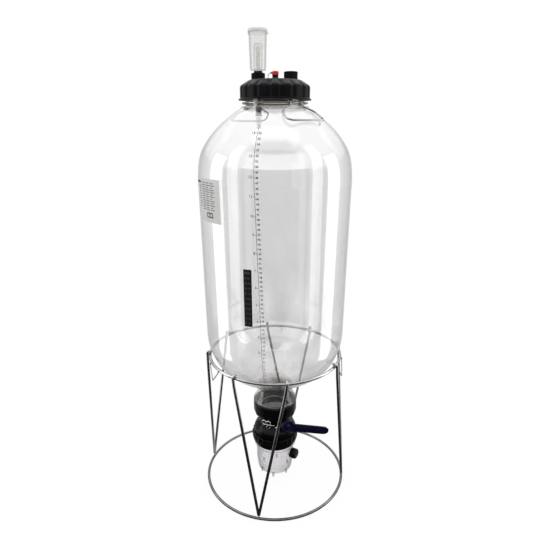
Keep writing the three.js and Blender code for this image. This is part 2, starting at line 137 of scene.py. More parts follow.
def make(name, verts, faces, material, body, replaced=()):
    """Adds a mesh given in millimetres as a piece that rides on a body."""
    piece = loose_object(name, verts, faces)
    piece.data.validate()
    piece.data.update()
    piece.data.shade_smooth()
    piece.data.set_sharp_from_angle(angle=SMOOTH_ANGLE)
    piece.data.materials.append(material)
    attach(piece, body)
    material["slot"]
    for node in replaced:
        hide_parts(node)
    return piece


class Parts:
    """Collects several closed shapes into one piece."""

    def __init__(self):
        self.verts = []
        self.faces = []

    def add(self, shape, matrix=None):
        verts, faces = shape
        first = len(self.verts)
        for v in verts:
            point = Vector(v)
            self.verts.append(tuple(matrix @ point if matrix else point))
        self.faces += [tuple(first + i for i in face) for face in faces]
        return self

    def __iter__(self):
        """Parts unpack into verts and faces, as every other shape does."""
        return iter((self.verts, self.faces))


def place(x=0, y=0, z=0, turn=0):
    """Turns about Z by degrees, then moves."""
    return Matrix.Translation((x, y, z)) @ Matrix.Rotation(math.radians(turn), 4, "Z")


def outward(azimuth, z):
    """Local +Z points outwards at the azimuth, +X along the tangent and +Y up."""
    turn = Matrix.Rotation(math.radians(azimuth), 4, "Z") @ Matrix.Rotation(math.pi / 2, 4, "X")
    return Matrix.Translation((0, 0, z)) @ turn


SHAFT_HOME = outward(SHAFT_AZIMUTH, SHAFT_Z)
CLIP_HOME = outward(CLIP_AZIMUTH, CLIP_Z)


def smooth_curve(stations, count):
    """Catmull-Rom points through a few (radius, z) stations."""
    ends = [stations[0]] + list(stations) + [stations[-1]]
    points = []
    spans = len(stations) - 1
    for i in range(count + 1):
        along = i / count * spans
        k = min(int(along), spans - 1)
        t = along - k
        p0, p1, p2, p3 = ends[k:k + 4]
        point = []
        for a, b, c, d in zip(p0, p1, p2, p3):
            square = 2 * a - 5 * b + 4 * c - d
            cube = 3 * b - a - 3 * c + d
            point.append(0.5 * (2 * b + (c - a) * t + square * t * t + cube * t ** 3))
        points.append(tuple(point))
    return points


def inset(points, wall):
    """The same outline moved towards the axis by the wall."""
    moved = []
    for i, (radius, z) in enumerate(points):
        r0, z0 = points[max(i - 1, 0)]
        r1, z1 = points[min(i + 1, len(points) - 1)]
        length = math.hypot(r1 - r0, z1 - z0)
        moved.append((radius - wall * (z1 - z0) / length, z + wall * (r1 - r0) / length))
    return moved


def corner_curve(start, here, end, steps):
    """The curve that eases one corner of an outline or a path."""
    shares = [k / steps for k in range(steps + 1)]
    return [start * (1 - t) ** 2 + here * 2 * t * (1 - t) + end * t * t for t in shares]


def eased(outline, radius):
    """Rounds the corners of an outline. A corner may carry its own radius as a third value."""
    points = []
    for i, corner in enumerate(outline):
        own = corner[2] if len(corner) > 2 else radius
        here = Vector(corner[:2])
        if own == 0:
            points.append(tuple(here))
            continue
        back = Vector(outline[i - 1][:2]) - here
        on = Vector(outline[(i + 1) % len(outline)][:2]) - here
        length = min(own, back.length * LONGEST_EASE, on.length * LONGEST_EASE)
        start = here + back.normalized() * length
        end = here + on.normalized() * length
        points += [tuple(point) for point in corner_curve(start, here, end, 3)]
    return points


def lathe(outline, ease, sides, shape=None):
    """Turns an outline with eased corners about Z."""
    return turned(eased(outline, ease), sides, shape)


def turned(outline, sides=96, shape=None):
    """Turns an outline about Z. Points on the axis close it; otherwise the outline closes on itself.

    shape(radius, z, azimuth) may move a point, for lobes, ribs and teeth."""
    verts = []
    rows = []
    for radius, z in outline:
        if radius < 1e-6:
            rows.append([len(verts)] * sides)
            verts.append((0, 0, z))
            continue
        row = []
        for i in range(sides):
            azimuth = 360 * i / sides
            r, height = shape(radius, z, azimuth) if shape else (radius, z)
            row.append(len(verts))
            verts.append(tuple(polar(r, azimuth, height)))
        rows.append(row)
    if outline[0][0] >= 1e-6:
        rows.append(rows[0])
    faces = []
    for low, high in zip(rows, rows[1:]):
        for i in range(sides):
            j = (i + 1) % sides
            corners = []
            for vert in (low[i], low[j], high[j], high[i]):
                if vert not in corners:
                    corners.append(vert)
            if len(corners) > 2:
                faces.append(tuple(corners))
    return verts, faces


def ring(radius, wire, z=0, sides=96, facets=16):
    outline = []
    for i in range(facets):
        angle = 2 * math.pi * i / facets
        outline.append((radius + wire * math.cos(angle), z + wire * math.sin(angle)))
    return turned(outline, sides)


def bent(corners, bend):
    """Rounds the corners of a path."""
    points = [corners[0]]
    for before, here, after in zip(corners, corners[1:], corners[2:]):
        back = before - here
        on = after - here
        start = here + back.normalized() * min(bend, back.length * LONGEST_EASE)
        end = here + on.normalized() * min(bend, on.length * LONGEST_EASE)
        points += corner_curve(start, here, end, 8)
    points.append(corners[-1])
    return points


def skinned(rings):
    """Joins rings of points into a closed tube."""
    count = len(rings[0])
    verts = [tuple(point) for points in rings for point in points]
    faces = []
    for i in range(len(rings) - 1):
        for k in range(count):
            a = i * count + k
            b = i * count + (k + 1) % count
            faces.append((a, b, b + count, a + count))
    faces.append(tuple(reversed(range(count))))
    faces.append(tuple(range(len(verts) - count, len(verts))))
    return verts, faces


def wire(points, radius, facets=14, domed=True):
    """A round wire along a path, with rounded ends."""
    points = [Vector(p) for p in points]
    rings = []
    aim = (points[1] - points[0]).normalized()
    side = aim.orthogonal().normalized()
    last = len(points) - 1
    for i, point in enumerate(points):
        ahead = (points[min(i + 1, last)] - points[max(i - 1, 0)]).normalized()
        side = (side - ahead * side.dot(ahead)).normalized()
        up = ahead.cross(side)
        bow = [(0.0, 1.0)]
        if domed and i in (0, last):
            steps = [(0.0, 0.55), (0.3, 0.86), (0.5, 1.0)]
            bow = steps if i == 0 else [(0.5 - d, r) for d, r in reversed(steps)]
            bow = bow if i == 0 else [(d - 0.5, r) for d, r in bow]
        for along, scale in bow:
            centre = point + ahead * along * radius
            circle = []
            for k in range(facets):
                angle = 2 * math.pi * k / facets
                circle.append(centre + (side * math.cos(angle) + up * math.sin(angle)) * radius * scale)
            rings.append(circle)
    return skinned(rings)


def block(size, bevel=0.8):
    """A box centred on the origin with bevelled edges."""
    bm = bmesh.new()
    bmesh.ops.create_cube(bm, size=1)
    bmesh.ops.scale(bm, vec=size, verts=bm.verts)
    bmesh.ops.bevel(bm, geom=bm.edges[:], offset=bevel, segments=3, affect="EDGES")
    bm.verts.index_update()
    verts = [tuple(v.co) for v in bm.verts]
    faces = [tuple(v.index for v in f.verts) for f in bm.faces]
    bm.free()
    return verts, faces


# ---------------------------------------------------------------- materials

class Nodes:
    """A small builder for one material's or world's node tree."""

    def __init__(self, tree):
        self.tree = tree
        tree.nodes.clear()

    def add(self, kind, **values):
        """Adds a node. A value goes to the socket of its name."""
        node = self.tree.nodes.new("ShaderNode" + kind)
        for key, value in values.items():
            node.inputs[key.title()].default_value = value
        return node

    def link(self, source, target):
        self.tree.links.new(source, target)

    def fed(self, kind, *sources):
        """Adds a node and feeds its first sockets; each source is a socket or a constant."""
        node = self.add(kind)
        for target, source in zip(node.inputs, sources):
            if isinstance(source, bpy.types.NodeSocket):
                self.link(source, target)
            else:
                target.default_value = source
        return node

    def value(self, source, operation, other):
        """One math step on a value."""
        node = self.fed("Math", source, other)
        node.operation = operation
        return node.outputs[0]

    def ramp(self, source, stops):
        node = self.add("ValToRGB")
        elements = node.color_ramp.elements
        while len(elements) < len(stops):
            elements.new(0.5)
        for element, (position, colour) in zip(elements, stops):
            element.position = position
            element.color = (*colour, 1) if isinstance(colour, tuple) else (colour, colour, colour, 1)
        self.link(source, node.inputs[0])
        return node.outputs[0]

    def mix(self, share, first, second):
        """Blends two colours."""
        return self.fed("MixRGB", share, first, second).outputs[0]

    def multiply(self, colour, factor):
        node = self.fed("MixRGB", 1, colour, factor)
        node.blend_type = "MULTIPLY"
        return node.outputs[0]

    def noise(self, scale, detail=3, stretch=None):
        """Noise in object space, in cycles per metre; stretch squeezes it along an axis."""
        coords = self.add("TexCoord")
        source = coords.outputs["Object"]
        if stretch:
            mapping = self.add("Mapping", scale=stretch)
            self.link(source, mapping.inputs["Vector"])
            source = mapping.outputs[0]
        node = self.add("TexNoise", scale=scale, detail=detail)
        self.link(source, node.inputs["Vector"])
        return node.outputs["Fac"]

    def bump(self, height, strength, distance):
        node = self.add("Bump", strength=strength, distance=distance)
        self.link(height, node.inputs["Height"])
        return node.outputs[0]

    def blend(self, share, first, second):
        """Mixes two shaders."""
        return self.fed("MixShader", share, first, second).outputs[0]

    def point(self, space="Object"):
        """The shaded point's X, Y and Z."""
        split = self.add("SeparateXYZ")
        self.link(self.add("TexCoord").outputs[space], split.inputs[0])
        return split.outputs

    def show(self, shader, output="OutputMaterial"):
        self.link(shader, self.add(output).inputs["Surface"])


def new_material(name, slot):
    material = bpy.data.materials.new(name)
    material.use_nodes = True
    material["slot"] = slot
    return material, Nodes(material.node_tree)


def solid(name, slot, dark, light, rough, metallic=0, grain=900, relief=0.15, depth=0.0002,
          stretch=None, ior=1.5):
    """An opaque finish: colour and roughness drift over the surface, with a fine relief."""
    material, n = new_material(name, slot)
    shader = n.add("BsdfPrincipled", metallic=metallic)
    shader.inputs["IOR"].default_value = ior
    drift = n.noise(26, 4)
    fine = n.noise(grain, 3, stretch)
    n.link(n.ramp(drift, [(0.3, dark), (0.7, light)]), shader.inputs["Base Color"])
    n.link(n.ramp(fine, [(0.3, rough[0]), (0.75, rough[1])]), shader.inputs["Roughness"])
    n.link(n.bump(fine, relief, depth), shader.inputs["Normal"])
    n.show(shader.outputs[0])
    return material


CLEAR_ROUGH = 0.02
HAZE_COLOUR = (0.8, 0.8, 0.808, 1)
WHITE = (1, 1, 1, 1)


def clear(name, slot, face, edge, haze=0.0, ripple=0.06, power=2.2, gloss=0.08, extra_tint=None, depth=None):
    """A clear plastic wall: its tint deepens at grazing angles, and it mirrors by Schlick's rule.

    extra_tint is a further tint, and depth says by height how much of it applies."""
    material, n = new_material(name, slot)
    facing = n.add("LayerWeight", blend=0.5)
    wave = n.noise(7, 2, (1.0, 1.0, 0.35))
    normal = n.bump(wave, ripple, 0.004)
    n.link(normal, facing.inputs["Normal"])
    graze = facing.outputs["Facing"]
    tint = n.ramp(n.value(graze, "POWER", power), [(0.0, face), (1.0, edge)])
    through = n.add("BsdfTransparent")
    if extra_tint:
        flow = n.ramp(n.noise(16, 3, (1.0, 1.0, 0.4)), [(0.36, extra_tint), (0.62, (1, 1, 1))])
        tint = n.mix(share_by_height(n, depth), tint, n.multiply(tint, flow))
    n.link(tint, through.inputs["Color"])
    mirror = n.add("BsdfGlossy", roughness=CLEAR_ROUGH, color=WHITE)
    n.link(normal, mirror.inputs["Normal"])
    schlick = n.value(n.value(n.value(graze, "POWER", 5), "MULTIPLY", 1 - gloss), "ADD", gloss)
    body = through.outputs[0]
    if haze:
        milk = n.add("BsdfDiffuse", color=HAZE_COLOUR)
        share = n.value(share_by_height(n, WALL_HAZE), "MULTIPLY", haze) if extra_tint else haze
        body = n.blend(share, body, milk.outputs[0])
    n.show(n.blend(schlick, body, mirror.outputs[0]))
    return material


def share_by_height(n, stops):
    """A factor by height in metres, read from a ramp of stops."""
    return n.ramp(n.point()["Z"], stops)


STEEL = solid("drawn_steel", "stainless_wire", (0.30, 0.30, 0.31), (0.44, 0.44, 0.44), (0.16, 0.3),
              metallic=1, grain=700, relief=0.08, depth=0.0001, stretch=(1, 1, 0.08))
# A darker copy of the drawn steel, used on the base ring: painted shade.
SHADED_STEEL = solid("shaded_drawn_steel", "stainless_wire", (0.10, 0.10, 0.10), (0.17, 0.17, 0.165),
                   (0.2, 0.34), metallic=1, grain=700, relief=0.08, depth=0.0001)
# A lighter copy of the drawn steel, used on the keeper's spring wire and split ring: painted light.
LIT_STEEL = solid("lit_spring_steel", "stainless_wire", (0.66, 0.66, 0.65), (0.8, 0.8, 0.79), (0.14, 0.24),
               metallic=1, grain=900, relief=0.06, depth=0.0001)
# The clear wall's extra tint is strongest low on the vessel and fades out by 0.94 m; its haze stays below
# 0.47 m.
WALL_TINT = [(0.42, 0.62), (0.5, 0.45), (0.6, 0.28), (0.73, 0.13), (0.88, 0.02), (0.94, 0.0)]
WALL_HAZE = [(0.40, 1.0), (0.47, 0.0)]
PET = clear("clear_pet", "clear_pet", (0.972, 0.970, 0.972), (0.94, 0.935, 0.935), haze=0.1,
            extra_tint=(0.89, 0.885, 0.89), depth=WALL_TINT)
NECK_PET = clear("thick_pet_neck", "clear_pet", (0.84, 0.83, 0.80), (0.5, 0.49, 0.44), haze=0.05, ripple=0.3,
                 gloss=0.14)
CLEAR = clear("clear_moulding", "clear_plastic", (0.945, 0.943, 0.95), (0.62, 0.61, 0.62), haze=0.05,
              ripple=0.12)
CLEAR_CUP = clear("container_plastic", "clear_plastic", (0.955, 0.95, 0.957), (0.52, 0.51, 0.53), haze=0.05,
                  ripple=0.12, power=2.6, gloss=0.05)
THICK_CLEAR = clear("thick_container_plastic", "clear_plastic", (0.80, 0.79, 0.80), (0.42, 0.41, 0.42),
                    haze=0.1, gloss=0.04)
AIRLOCK = clear("airlock_plastic", "clear_plastic", (0.957, 0.957, 0.952), (0.72, 0.72, 0.715), haze=0.03,
                gloss=0.03)
INNER_CLEAR = clear("airlock_inner_plastic", "clear_plastic", (0.988, 0.988, 0.986), (0.92, 0.92, 0.918),
                    gloss=0.012)
# The foot's extra tint up to about 0.29 m is partly its thick wall and partly painted shade: it stands in
# for the black nut seen through the clear plastic.
FOOT_TINT = [(0.262, 1.0), (0.288, 0.85), (0.303, 0.1)]
FOOT = clear("thick_pet_foot_painted_shade", "clear_pet", (0.93, 0.925, 0.915), (0.78, 0.77, 0.74), haze=0.04, ripple=0.9,
             gloss=0.05, extra_tint=(0.44, 0.43, 0.40), depth=FOOT_TINT)
SMOKE = clear("spigot_plastic", "black_plastic", (0.62, 0.61, 0.61), (0.30, 0.30, 0.30), haze=0.10)
BLACK = solid("black_moulding", "black_plastic", (0.002, 0.002, 0.0025), (0.005, 0.0045, 0.006),
              (0.24, 0.34), grain=1400, relief=0.08, ior=1.22)
BLACK_SATIN = solid("black_lid", "black_plastic", (0.003, 0.0027, 0.0038), (0.007, 0.0062, 0.0085),
                    (0.36, 0.46), grain=1500, relief=0.1, ior=1.2)
RUBBER = solid("black_rubber", "black_rubber", (0.006, 0.006, 0.006), (0.014, 0.014, 0.014), (0.6, 0.8))
SILICONE = solid("silicone", "silicone", (0.62, 0.61, 0.57), (0.74, 0.73, 0.69), (0.45, 0.6))
RED = solid("red_knob", "red_plastic", (0.78, 0.018, 0.008), (0.92, 0.035, 0.014), (0.24, 0.36))
BLUE = solid("blue_lever", "blue_plastic", (0.003, 0.0028, 0.02), (0.006, 0.0055, 0.034), (0.3, 0.42),
             grain=1100, relief=0.16, ior=1.28)
STRIP = solid("strip_film", "strip_black", (0.004, 0.004, 0.005), (0.010, 0.010, 0.011), (0.3, 0.42))
PAPER = solid("label_film", "label_film", (0.90, 0.885, 0.87), (0.95, 0.94, 0.93), (0.4, 0.55), grain=500)
INK = solid("black_ink", "strip_black", (0.012, 0.012, 0.014), (0.03, 0.03, 0.032), (0.5, 0.6))
GREY_INK = solid("grey_ink", "strip_black", (0.14, 0.135, 0.135), (0.22, 0.21, 0.21), (0.5, 0.6))
DIGIT_INK = solid("digit_ink", "strip_black", (0.10, 0.11, 0.105), (0.22, 0.24, 0.23), (0.4, 0.5))


# ---------------------------------------------------------------- studio

FRONT_DARK = 0.03
ROOM = [(0.0, FRONT_DARK), (0.33, FRONT_DARK), (0.42, 0.14), (0.6, 0.55), (1.0, 0.62)]
FRONT_SKY = [(0.0, FRONT_DARK), (0.235, FRONT_DARK), (0.27, 1.8), (0.6, 1.7), (0.72, 1.5), (0.78, 0.25),
             (0.95, 0.25), (0.98, 1.7)]
SIDE_SKY = [(0.0, 0.6), (0.25, 1.0), (0.6, 1.7), (0.98, 1.9)]
DIFFUSE_ROOM = (0.74, 0.74, 0.74, 1)
FLOOR_GLOW = 0.93
FLOOR_MATTE = (0.09, 0.09, 0.09, 1)


def facing_back(n, point):
    """0 in front of the object, 1 behind it, by azimuth."""
    x2 = n.value(point["X"], "POWER", 2)
    y2 = n.value(point["Y"], "POWER", 2)
    across = n.value(n.value(n.value(x2, "ADD", y2), "MAXIMUM", 0.0001), "POWER", 0.5)
    return n.value(n.value(n.value(point["Y"], "DIVIDE", across), "MULTIPLY", 0.5), "ADD", 0.5)


def studio():
    """White to the eye. Reflections see a dark front, a lighter back, a bright sky and side cards."""
    scene = bpy.context.scene
    scene.view_settings.view_transform = "Standard"
    scene.cycles.transparent_max_bounces = 32
    scene.cycles.max_bounces = 10
    world = bpy.data.worlds.new("studio")
    scene.world = world
    world.use_nodes = True
    n = Nodes(world.node_tree)
    direction = n.point("Generated")
    back = facing_back(n, direction)
    room = n.ramp(back, ROOM)
    rise = direction["Z"]
    front_sky = n.ramp(rise, FRONT_SKY)
    side_sky = n.ramp(rise, SIDE_SKY)
    sky = n.mix(n.ramp(back, [(0.1, 0.0), (0.3, 1.0)]), front_sky, side_sky)
    glossy = n.mix(n.ramp(rise, [(0.17, 0.0), (0.24, 1.0)]), room, sky)
    seen = n.add("LightPath")
    softer = n.mix(seen.outputs["Is Diffuse Ray"], glossy, DIFFUSE_ROOM)
    final = n.mix(seen.outputs["Is Camera Ray"], softer, WHITE)
    background = n.add("Background")
    n.link(final, background.inputs["Color"])
    n.show(background.outputs[0], "OutputWorld")
    floor()
    for side in (-1, 1):
        strip_at = (side * 0.62, -0.079, 0.60)
        band_at = (side * 0.543, -0.446, 0.56)
        softbox(f"strip_card_{side}", strip_at, (0.257, 1.15), 2.3, (-side, 0, 0))
        softbox(f"band_card_{side}", band_at, (0.163, 0.94), 0.42, (-side * 0.46, 0.29, 0))
    key = softbox("top_box", (0, -0.5, 2.6), (1.6, 1.2), 0.6, (0, 0.15, -1))
    key.visible_diffuse = True


def softbox(name, location, size, radiance, aim):
    """A glowing card, unseen by the camera. Its power follows from its size and its radiance."""
    light = bpy.data.lights.new(name, "AREA")
    light.shape = "RECTANGLE"
    light.size, light.size_y = size
    light.energy = radiance * math.pi * size[0] * size[1]
    lamp = bpy.data.objects.new(name, light)
    lamp.location = location
    lamp.rotation_euler = Vector(aim).to_track_quat("-Z", "Y").to_euler()
    lamp.visible_camera = False
    lamp.visible_diffuse = False
    bpy.context.scene.collection.objects.link(lamp)
    return lamp


def floor():
    """White to the eye, but reflections see it as a continuation of the room."""
    material = bpy.data.materials.new("studio_floor")
    material.use_nodes = True
    n = Nodes(material.node_tree)
    white = n.add("Emission", color=WHITE, strength=FLOOR_GLOW)
    matte = n.add("BsdfDiffuse", color=FLOOR_MATTE)
    bright = n.fed("AddShader", white.outputs[0], matte.outputs[0])
    dull = n.add("Emission")
    n.link(n.ramp(facing_back(n, n.point()), ROOM), dull.inputs["Color"])
    seen = n.add("LightPath")
    n.show(n.blend(seen.outputs["Is Camera Ray"], dull.outputs[0], bright.outputs[0]))
    bpy.ops.mesh.primitive_plane_add(size=14, location=(0, 0, -0.0005))
    plane = bpy.context.object
    plane.name = "studio_floor"
    plane.data.materials.append(material)
    plane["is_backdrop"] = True


EYE_AT = (0, -1.1125, 0.9636)
EYE_TILT = 0.3989


def camera():
    """1.11 m in front and 0.96 m up, tilted 22.9 degrees down, with a small upward shift."""
    data = bpy.data.cameras.new("view")
    data.sensor_width = 36
    data.lens = 30.05
    data.shift_y = 0.081
    data.clip_start = 0.05
    eye = bpy.data.objects.new("view", data)
    eye.location = EYE_AT
    eye.rotation_euler = (math.pi / 2 - EYE_TILT, 0, 0)
    bpy.context.scene.collection.objects.link(eye)
    bpy.context.scene.camera = eye


# ---------------------------------------------------------------- stand

def stand():
    make("base_ring_rod", *ring(BASE_RING, ROD, ROD, 160), SHADED_STEEL, "stand", ["base_ring"])
    make("top_ring_rod", *ring(TOP_RING, ROD, TOP_RING_Z, 160), STEEL, "stand", ["top_ring"])
    outside = TOP_RING + 2 * ROD + GAP
    over = TOP_RING_Z + 2 * ROD + 2 * GAP
    for side, azimuth in LEG_AZIMUTHS.items():
        start = azimuth - LEG_SPREAD
        end = azimuth + LEG_SPREAD
        corners = [
            polar(LEG_END, start, over),
            polar(outside, start, over),
            polar(outside, start + 1.2, TOP_RING_Z - 22),
            polar(BASE_RING, azimuth, 3 * ROD + GAP),
            polar(outside, end - 1.2, TOP_RING_Z - 22),
            polar(outside, end, over),
            polar(LEG_END, end, over),
        ]
        make(f"leg_rod_{side}", *wire(bent(corners, 7), ROD), STEEL, "stand", [f"leg_{side}"])
    beside = TOP_RING + ROD + TIE_WIRE + GAP
    for side, (azimuth, low_radius, low_z) in TIES.items():
        corners = [
            polar(beside, azimuth - TIE_SPREAD, TOP_RING_Z + 2),
            polar(beside, azimuth - TIE_SPREAD, TOP_RING_Z - 4),
            polar(low_radius, azimuth, low_z),
            polar(beside, azimuth + TIE_SPREAD, TOP_RING_Z - 4),
            polar(beside, azimuth + TIE_SPREAD, TOP_RING_Z + 2),
        ]
        make(f"tie_wire_{side}", *wire(bent(corners, 4), TIE_WIRE, 12), STEEL, "stand", [f"tie_loop_{side}"])


# ---------------------------------------------------------------- vessel

# Outside of the vessel from the bowl's foot to the neck's foot
SKIN = smooth_curve(BOWL, 40) + smooth_curve(SHOULDER, 34)


def vessel_radius(z):
    """Radius of the vessel's outside at a height."""
    for (r0, z0), (r1, z1) in zip(SKIN, SKIN[1:]):
        if z0 <= z <= z1:
            return r0 + (r1 - r0) * (z - z0) / (z1 - z0)
    return BODY


def vessel():
    neck = [(75.8, 1000, 0), (74.6, 1001), (73.7, 1003.2), (NECK, 1004, 1.5), (NECK, 1042),
            (NECK - WALL, 1042), (NECK - WALL, 1000, 0)]
    make("pet_neck", *lathe(neck, 0.7, 192), NECK_PET, "vessel", ["vessel"])
    inside = list(reversed(inset(SKIN, WALL)))
    make("pet_vessel", *turned(SKIN + inside, 192), PET, "vessel", ["vessel"])
    foot = [(44, 236), (44, 241), (42.6, 242), (44, 243), (44, 254.5), (60, 254.5, 1.4), (60, 259, 0.8),
            (57, 262, 2), (50, 277, 4), (45.5, 292, 4), (45.9, 309.4), (44.4, 310.6), (42.6, 292, 3),
            (41, 266, 3), (41, 236)]
    make("pet_outlet_foot", *lathe(foot, 0.6, 192), FOOT, "vessel", ["vessel"])
    threads = Parts()
    for turn in range(3):
        threads.add(ring(NECK + 0.9, 0.9, 1020 + 6.5 * turn, 144, 8))
    make("neck_thread", *threads, NECK_PET, "vessel")
    make("parting_line", *parting_line(), PET, "vessel")


def parting_line():
    """The mould's seam: a fine raised line up both sides of the vessel."""
    seam = Parts()
    path = [(r, z) for r, z in SKIN if r > 60]
    for azimuth in (-84, 96):
        seam.add(wire([polar(r + 0.05, azimuth, z) for r, z in path], 0.45, 6))
    return seam


def collar_and_handles():
    collar = ring(COLLAR_RING, COLLAR_WIRE, COLLAR_Z, 128)
    make("handle_collar_wire", *collar, STEEL, "vessel", ["handle_collar"])
    hinge = COLLAR_RING * math.cos(math.radians(EYE_AZIMUTH))
    lug = COLLAR_RING * math.sin(math.radians(EYE_AZIMUTH))
    half = [
        (hinge + EYE_RING, lug, COLLAR_Z - 1),
        (77.2, 15.8, 1003),
        (79, 18, 1000.6),
        (84.5, 43, 991.5),
        (105, 48.5, 978),
        (116.5, 41, 974.8),
    ]
    right = [Vector((across, -out, z)) for out, across, z in half]
    left = [Vector((-p.x, p.y, p.z)) for p in reversed(right)]
    for side, azimuth in HANDLE_AZIMUTHS.items():
        parts = Parts()
        turn = place(turn=azimuth)
        parts.add(wire(bent(right + left, 6), HANDLE_WIRE), turn)
        for x in (-lug, lug):
            upright = place(x, -hinge, COLLAR_Z) @ Matrix.Rotation(math.pi / 2, 4, "Y")
            parts.add(ring(EYE_RING, 1.2, 0, 32, 12), turn @ upright)
        make(f"handle_wire_{side}", *parts, STEEL, f"handle_{side}", [f"handle_{side}"])


def onto_vessel(points, azimuth, proud, lean=0):
    """Lays flat (across, z) points on the vessel's outside, across measured from the azimuth.

    lean turns the print by so many degrees per millimetre of height about the middle of the wall."""
    laid = []
    for across, z in points:
        radius = vessel_radius(z)
        turn = azimuth + lean * (z - MIDDLE_Z) + math.degrees(across / radius)
        laid.append(tuple(polar(radius + proud, turn, z)))
    return laid


class Print:
    """Thin ink shapes wrapped onto the vessel."""

    def __init__(self, azimuth, proud=0.12, lean=0):
        self.azimuth = azimuth
        self.proud = proud
        self.lean = lean
        self.verts = []
        self.faces = []

    def bar(self, left, right, low, high):
        """A rectangle; it is split into cells across and up so that it follows the wall."""
        across = max(1, math.ceil((right - left) / 6))
        up = max(1, math.ceil((high - low) / 8))
        first = len(self.verts)
        for j in range(up + 1):
            z = low + (high - low) * j / up
            row = [(left + (right - left) * i / across, z) for i in range(across + 1)]
            self.verts += onto_vessel(row, self.azimuth, self.proud, self.lean)
        for j in range(up):
            for i in range(across):
                a = first + j * (across + 1) + i
                self.faces.append((a, a + 1, a + across + 2, a + across + 1))

    def text(self, words, across, z, size, align="LEFT", weight=0.0):
        """Digits or plain words from Blender's own font."""
        curve = bpy.data.curves.new("print", "FONT")
        curve.body = words
        curve.size = size
        curve.offset = weight
        curve.align_x = align
        curve.align_y = "CENTER"
        curve.resolution_u = 3
        letters = bpy.data.objects.new("print", curve)
        mesh = letters.to_mesh()
        first = len(self.verts)
        flat = [(across + v.co.x, z + v.co.y) for v in mesh.vertices]
        self.verts += onto_vessel(flat, self.azimuth, self.proud, self.lean)
        self.faces += [tuple(first + i for i in polygon.vertices) for polygon in mesh.polygons]
        letters.to_mesh_clear()
        bpy.data.objects.remove(letters)
        bpy.data.curves.remove(curve)

    def make(self, name, material, replaced=()):
        return make(name, self.verts, self.faces, material, "vessel", replaced)


GALLON_MARKS = [951, 909.5, 870.5, 833, 794, 756, 717, 679, 641, 601.5, 562, 524, 485, 447]
LITRE = 10.2
LITRE_LOW = 400
LITRE_HIGH = 960


def scale_print():
    """A vertical rule with a mark for each litre on its right and for each gallon on its left."""
    rule = Print(SCALE_AZIMUTH, lean=SCALE_LEAN)
    rule.bar(-0.4, 0.4, LITRE_LOW - 6, LITRE_HIGH + 6)
    count = int((LITRE_HIGH - LITRE_LOW) / LITRE)
    for i in range(count + 1):
        z = LITRE_LOW + i * LITRE
        rule.bar(0.4, 2.2, z - 0.35, z + 0.35)
        rule.text(str(i + 2), 2.9, z, 5.8, weight=0.2)
    for i, z in enumerate(GALLON_MARKS):
        rule.bar(-3.2, -0.4, z - 0.4, z + 0.4)
        rule.text(str(len(GALLON_MARKS) - i), -4.4, z, 7.6, "RIGHT", 0.1)
    rule.make("volume_scale", INK)


def thermometer_strip():
    """Black film with a column of faint digits."""
    azimuth = -19.5
    half = 9.5
    low = 548
    high = 681
    make("thermometer_film", *film(azimuth, half, low, high, 0.45), STRIP, "vessel", ["thermometer_strip"])
    digits = Print(azimuth, GAP + 0.6)
    rows = 11
    for i in range(rows):
        z = low + 8 + i * (high - low - 16) / (rows - 1)
        digits.text(str(8 + 2 * i), -7, z, 5.6)
        digits.text(str(46 + 4 * i), 0.6, z, 5.6)
    digits.make("thermometer_digits", DIGIT_INK)


def film(azimuth, half, low, high, thickness):
    """A thin closed panel just off the cylinder's wall, with its corners left square."""
    columns = max(4, math.ceil(half / 1.6))
    rows = max(2, math.ceil((high - low) / 12))
    verts = []
    for radius in (BODY + GAP, BODY + GAP + thickness):
        for j in range(rows + 1):
            for i in range(columns + 1):
                across = -half + 2 * half * i / columns
                turn = azimuth + math.degrees(across / BODY)
                verts.append(tuple(polar(radius, turn, low + (high - low) * j / rows)))
    layer = (rows + 1) * (columns + 1)
    faces = []
    for j in range(rows):
        for i in range(columns):
            a = j * (columns + 1) + i
            b = a + columns + 1
            faces.append((a, b, b + 1, a + 1))
            faces.append((layer + a, layer + a + 1, layer + b + 1, layer + b))
    rim = [i for i in range(columns)]
    rim += [columns + j * (columns + 1) for j in range(rows)]
    rim += [layer - 1 - i for i in range(columns)]
    rim += [layer - 1 - columns - j * (columns + 1) for j in range(rows)]
    for a, b in zip(rim, rim[1:] + rim[:1]):
        faces.append((a, b, layer + b, layer + a))
    return verts, faces


def info_label():
    """White film with rows of fine print, a dark block and a small boxed sign."""
    azimuth = -57.7
    half = 53.5
    low = 770
    high = 861
    make("label_sheet", *film(azimuth, half, low, high, 0.25), PAPER, "vessel", ["info_label"])
    dark = Print(azimuth, GAP + 0.4)
    faint = Print(azimuth, GAP + 0.4)
    dark.bar(-53, -23, 850, 860)
    widths = [0.92, 0.8, 0.97, 0.62, 0.88, 0.95, 0.72, 0.9, 0.55, 0.94, 0.83, 0.97, 0.7, 0.9]
    for i, share in enumerate(widths):
        z = 857 - i * 4.6
        for k in range(3):
            left = -14 + 18 * k
            faint.bar(left, left + 16.4 * share ** (0.5 + 0.5 * k), z - 0.85, z + 0.85)
    for i in range(9):
        z = 844 - 5.4 * i
        faint.bar(-32 + i % 2, -22 - i % 3, z - 1.1, z + 1.1)
    for low, high in ((780, 782.6), (788.6, 791)):
        dark.bar(5, 29, low, high)
    for left in (5, 15.5, 26):
        dark.bar(left, left + 3, 782.6, 788.6)
    dark.make("label_dark_print", INK)
    faint.make("label_fine_print", GREY_INK)


# ---------------------------------------------------------------- lid

